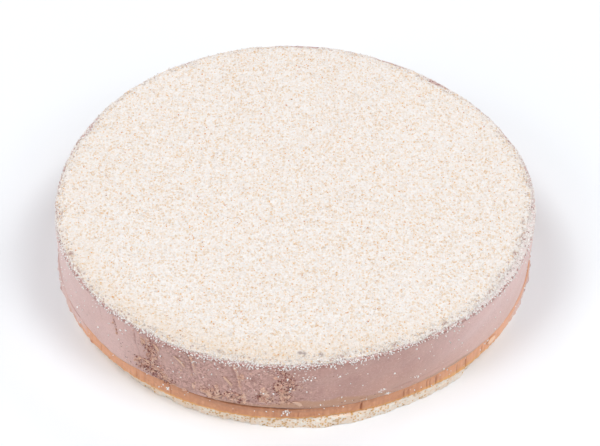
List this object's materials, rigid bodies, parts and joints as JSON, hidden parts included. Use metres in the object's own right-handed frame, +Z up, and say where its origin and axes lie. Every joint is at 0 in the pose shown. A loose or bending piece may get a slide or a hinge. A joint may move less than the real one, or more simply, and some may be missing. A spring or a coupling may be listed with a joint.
{
  "type": "layered mousse cake",
  "caption": "Round uncut frozen cake: sponge base, caramel layer, thick chocolate mousse and a fine cream crumb topping with a bare rim.",
  "frame": {"origin": "middle of the underside of the sponge base, which rests on the table", "axes": "+Z up; -Y towards the side that faces the camera in the picture; +X to its right"},
  "size_m": [0.2646, 0.2596, 0.05],
  "materials": {
    "sponge": "dry, open-pored pale cream-yellow sponge",
    "caramel": "smooth orange-tan caramel with a soft sheen and small upright grooves",
    "mousse": "satin mauve-brown set mousse with fine bubbles and torn patches",
    "crumb": "matt, very fine cream crumb with tan specks"
  },
  "bodies": {
    "root": {"sponge_base": "sponge", "caramel": "caramel", "mousse": "mousse", "crumb_topping": "crumb"}
  },
  "joints": []
}
